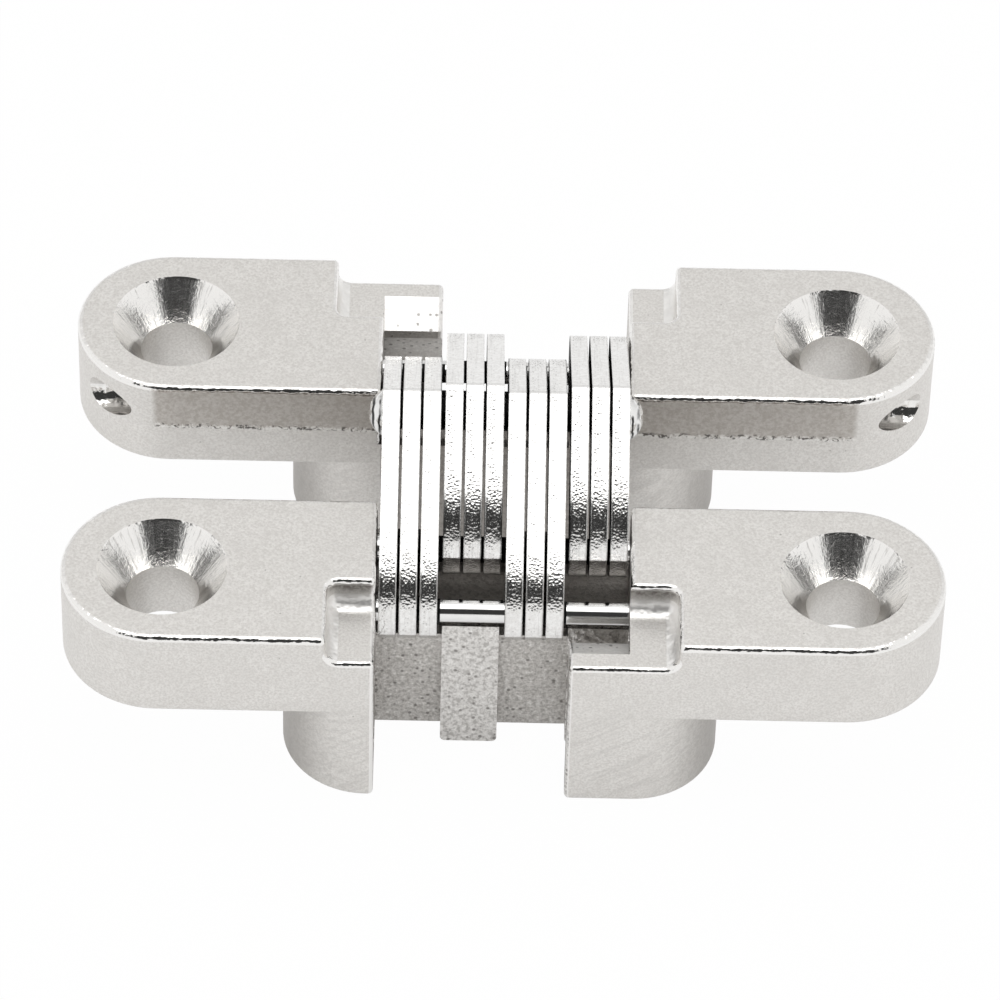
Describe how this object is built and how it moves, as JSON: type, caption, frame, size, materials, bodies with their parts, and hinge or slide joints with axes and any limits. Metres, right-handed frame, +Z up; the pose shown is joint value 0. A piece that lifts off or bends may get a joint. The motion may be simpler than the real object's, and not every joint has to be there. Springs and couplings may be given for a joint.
{
  "type": "concealed invisible door hinge",
  "caption": "Concealed hinge with round-ended cast leaves joined by crossed boomerang links; opens from shut to flat and hides in the edges of door and frame.",
  "frame": {"origin": "on the plane of the two barrel bottoms, under the middle of the open hinge", "axes": "+X along the leaves, +Y across the gap from the frame leaf to the door leaf, +Z up out of the leaf faces"},
  "size_m": [0.06, 0.0366, 0.0214],
  "materials": {
    "casting": "satin nickel plate on a fine-grained zinc casting",
    "link": "bright nickel plate on stamped steel, slightly mottled edges",
    "pin": "bright polished steel"
  },
  "bodies": {
    "frame_side": {"frame_leaf": "casting", "frame_pivot_pin": "pin"},
    "frame_pivot_links": {"link_04": "link", "link_05": "link", "link_06": "link", "link_10": "link", "link_11": "link", "link_12": "link", "door_slide_pin": "pin", "centre_rivet": "pin"},
    "door_pivot_links": {"link_01": "link", "link_02": "link", "link_03": "link", "link_07": "link", "link_08": "link", "link_09": "link", "frame_slide_pin": "pin"},
    "door_side": {"door_leaf": "casting", "door_pivot_pin": "pin"}
  },
  "joints": [
    {"name": "frame_pivot", "type": "hinge", "parent": "frame_side", "child": "frame_pivot_links", "pos_m": [0, -0.00695, 0.0128], "axis": [1, 0, 0], "range_deg": [0, 119.8]},
    {"name": "link_cross", "type": "hinge", "parent": "frame_pivot_links", "child": "door_pivot_links", "pos_m": [0, 0, 0.0189], "axis": [1, 0, 0], "range_deg": [-59.6, 0]},
    {"name": "door_pivot", "type": "hinge", "parent": "door_pivot_links", "child": "door_side", "pos_m": [0, 0.00695, 0.0128], "axis": [1, 0, 0], "range_deg": [0, 119.81]}
  ],
  "couplings": [
    {"joint": "link_cross", "follows": "frame_pivot", "ratio": -0.49745},
    {"joint": "door_pivot", "follows": "frame_pivot", "ratio": 1}
  ]
}
